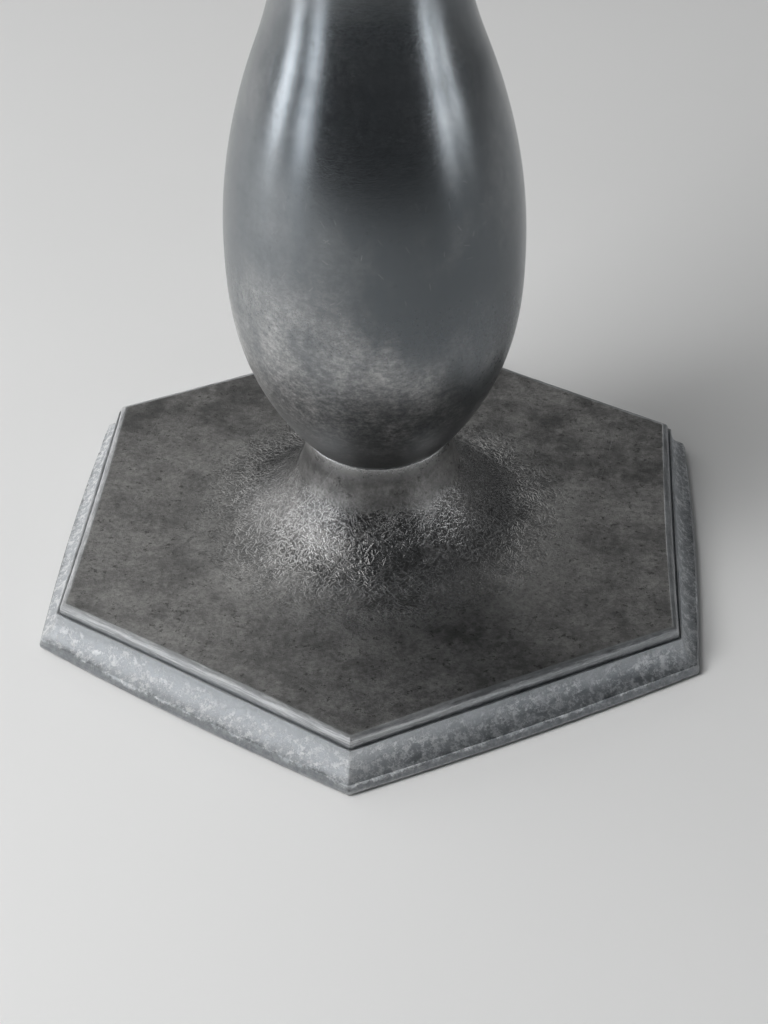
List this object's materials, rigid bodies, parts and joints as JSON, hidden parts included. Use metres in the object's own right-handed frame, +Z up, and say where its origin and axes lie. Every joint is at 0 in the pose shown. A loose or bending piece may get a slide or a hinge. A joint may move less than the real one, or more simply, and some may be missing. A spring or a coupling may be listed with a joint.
{
  "type": "pillar candle holder",
  "caption": "Pewter pillar candle holder with a six-sided moulded foot, a hollow vase-shaped body, a flared capital and a six-sided pan with a spike.",
  "frame": {"origin": "centre of the felt underside, on the table below the axis", "axes": "+Z up along the axis of the body; the corners of both six-sided plates lie on the Y axis and flats face along X"},
  "size_m": [0.13, 0.15, 0.2115],
  "materials": {
    "cast_pewter": "satin",
    "satin_pewter": "satin",
    "turned_pewter": "satin",
    "plated_steel": "satin",
    "spring_steel": "satin",
    "spike_steel": "satin",
    "felt": "matte",
    "board": "matte"
  },
  "bodies": {
    "root": {"foot": "cast_pewter", "felt_pad": "felt", "backing_board": "board", "clamp_washer": "plated_steel", "spring_washer": "spring_steel", "hex_nut": "plated_steel", "tie_rod": "plated_steel", "lower_disc": "turned_pewter", "body": "satin_pewter", "upper_disc": "turned_pewter", "collar": "turned_pewter", "capital": "satin_pewter", "pan": "cast_pewter", "spike": "spike_steel"}
  },
  "joints": []
}
